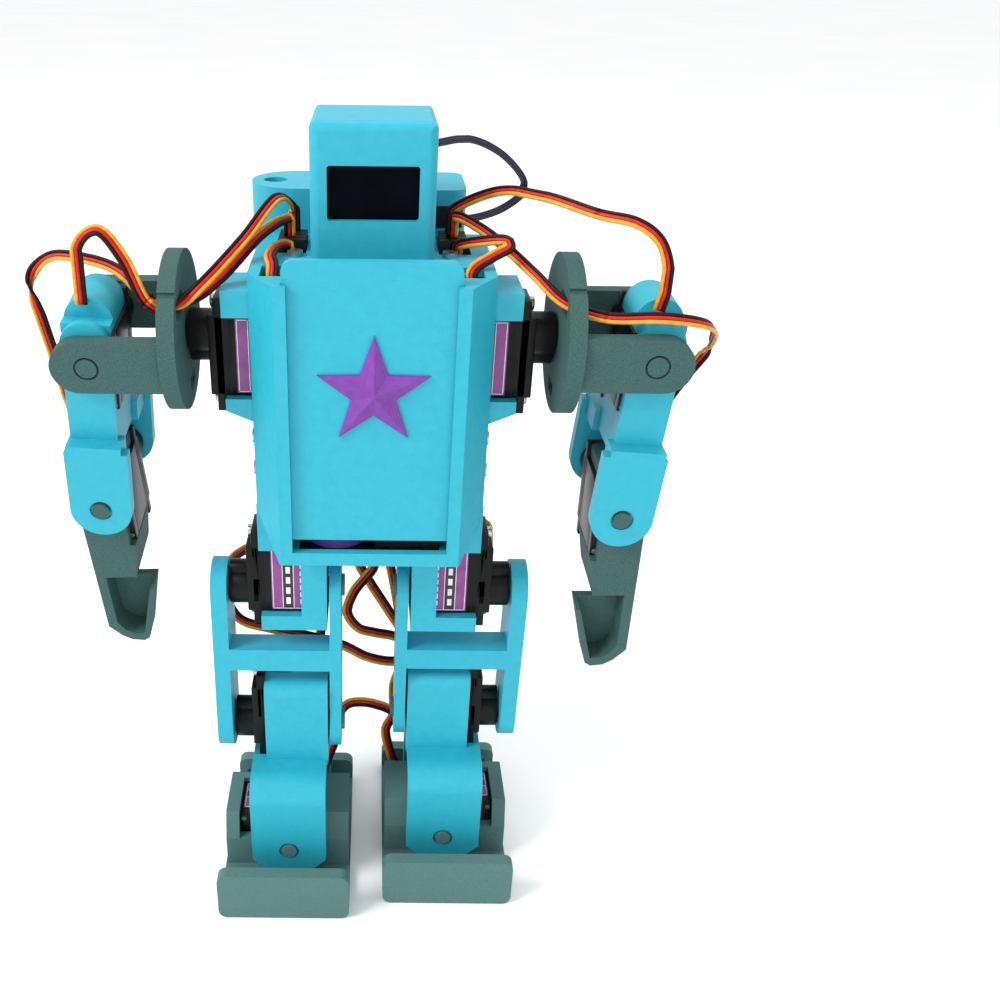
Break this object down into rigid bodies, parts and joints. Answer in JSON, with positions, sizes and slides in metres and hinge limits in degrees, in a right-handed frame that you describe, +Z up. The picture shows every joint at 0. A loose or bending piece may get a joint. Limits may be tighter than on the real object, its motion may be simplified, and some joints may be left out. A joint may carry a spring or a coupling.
{
  "type": "walking robot figure with servo joints",
  "caption": "Small humanoid robot kit: box torso with sliding chest cover and star badge, display head, back box, jointed arms with scoop hands, jointed legs on wide feet, micro servos.",
  "frame": {"origin": "centre of the standing robot's bounding box on the floor, cords left out", "axes": "+Z up, the robot faces -Y, its own left side is +X"},
  "size_m": [0.1906, 0.0986, 0.2377],
  "materials": {
    "blue": "printed in layers, light blue",
    "grey": "printed in layers, speckled grey-green",
    "purple": "purple",
    "case": "smoky black servo case with a purple band",
    "black": "moulded",
    "display": "dark, polished",
    "board": "circuit board",
    "steel": "plated",
    "wire": "insulated wires side by side"
  },
  "bodies": {
    "torso": {"torso_shell": "blue", "back_box": "blue", "head_shell": "blue", "head_back_cover": "blue", "display_glass": "display", "display_board": "board", "controller_board": "board", "servo_plugs": "black", "battery_holder": "black", "battery_cell": "purple", "torso_screws": "steel", "shoulder_servos": "case", "hip_servos": "case", "power_switch": "black", "display_lead": "wire", "torso_leads": "wire", "left_arm_leads": "wire", "right_arm_leads": "wire", "left_leg_leads": "wire", "right_leg_leads": "wire"},
    "chest_cover": {"chest_cover": "blue", "star_badge": "purple"},
    "switch_slider": {"switch_slider": "black"},
    "left_shoulder": {"left_shoulder_bracket": "grey", "left_shoulder_horns": "black"},
    "left_upper_arm": {"left_upper_arm": "blue", "left_roll_servo": "case", "left_shoulder_pin": "grey", "left_elbow_horn": "black"},
    "left_forearm": {"left_forearm": "grey", "left_elbow_servo": "case", "left_elbow_pin": "grey"},
    "left_thigh": {"left_thigh_frame": "blue", "left_thigh_horns": "black", "left_thigh_pins": "grey"},
    "left_shin": {"left_shin": "blue", "left_knee_servo": "case", "left_ankle_horn": "black"},
    "left_foot": {"left_foot": "grey", "left_ankle_servo": "case", "left_ankle_pin": "grey"},
    "right_shoulder": {"right_shoulder_bracket": "grey", "right_shoulder_horns": "black"},
    "right_upper_arm": {"right_upper_arm": "blue", "right_roll_servo": "case", "right_shoulder_pin": "grey", "right_elbow_horn": "black"},
    "right_forearm": {"right_forearm": "grey", "right_elbow_servo": "case", "right_elbow_pin": "grey"},
    "right_thigh": {"right_thigh_frame": "blue", "right_thigh_horns": "black", "right_thigh_pins": "grey"},
    "right_shin": {"right_shin": "blue", "right_knee_servo": "case", "right_ankle_horn": "black"},
    "right_foot": {"right_foot": "grey", "right_ankle_servo": "case", "right_ankle_pin": "grey"}
  },
  "joints": [
    {"name": "cover_slide", "type": "slide", "parent": "torso", "child": "chest_cover", "axis": [0, 0, 1], "range_m": [0, 0.074]},
    {"name": "switch_slide", "type": "slide", "parent": "torso", "child": "switch_slider", "axis": [0, 1, 0], "range_m": [0, 0.0034]},
    {"name": "left_shoulder_pitch", "type": "hinge", "parent": "torso", "child": "left_shoulder", "pos_m": [0.05, -0.01002, 0.1835], "axis": [-1, 0, 0], "range_deg": [-60, 120], "deforming": ["left_arm_leads"]},
    {"name": "left_shoulder_roll", "type": "hinge", "parent": "left_shoulder", "child": "left_upper_arm", "pos_m": [0.0737, -0.00997, 0.1825], "axis": [0, -0.9986, -0.0523], "range_deg": [-2, 94]},
    {"name": "left_elbow", "type": "hinge", "parent": "left_upper_arm", "child": "left_forearm", "pos_m": [0.07046, -0.00754, 0.13618], "axis": [0, -0.9986, -0.0523], "range_deg": [-12, 90]},
    {"name": "left_hip", "type": "hinge", "parent": "torso", "child": "left_thigh", "pos_m": [0.043, -0.01002, 0.10179], "axis": [-1, 0, 0], "range_deg": [-30, 90], "deforming": ["left_leg_leads"]},
    {"name": "left_knee", "type": "hinge", "parent": "left_thigh", "child": "left_shin", "pos_m": [0.043, -0.00675, 0.052], "axis": [1, 0, 0], "range_deg": [-20, 100]},
    {"name": "left_ankle", "type": "hinge", "parent": "left_shin", "child": "left_foot", "pos_m": [0.0252, -0.00675, 0.015], "axis": [0, -1, 0], "range_deg": [-25, 25]},
    {"name": "right_shoulder_pitch", "type": "hinge", "parent": "torso", "child": "right_shoulder", "pos_m": [-0.05, -0.01002, 0.1835], "axis": [-1, 0, 0], "range_deg": [-60, 120], "deforming": ["right_arm_leads"]},
    {"name": "right_shoulder_roll", "type": "hinge", "parent": "right_shoulder", "child": "right_upper_arm", "pos_m": [-0.0737, -0.00986, 0.18251], "axis": [0, 0.9869, 0.1616], "range_deg": [-9.5, 86.5]},
    {"name": "right_elbow", "type": "hinge", "parent": "right_upper_arm", "child": "right_forearm", "pos_m": [-0.07654, -0.00236, 0.13671], "axis": [0, 0.9869, 0.1616], "range_deg": [-12, 90]},
    {"name": "right_hip", "type": "hinge", "parent": "torso", "child": "right_thigh", "pos_m": [-0.043, -0.01002, 0.10179], "axis": [-1, 0, 0], "range_deg": [-30, 90], "deforming": ["right_leg_leads", "torso_leads"]},
    {"name": "right_knee", "type": "hinge", "parent": "right_thigh", "child": "right_shin", "pos_m": [-0.043, -0.01328, 0.052], "axis": [1, 0, 0], "range_deg": [-20, 100]},
    {"name": "right_ankle", "type": "hinge", "parent": "right_shin", "child": "right_foot", "pos_m": [-0.0252, -0.01328, 0.015], "axis": [0, 1, 0], "range_deg": [-25, 25]}
  ]
}
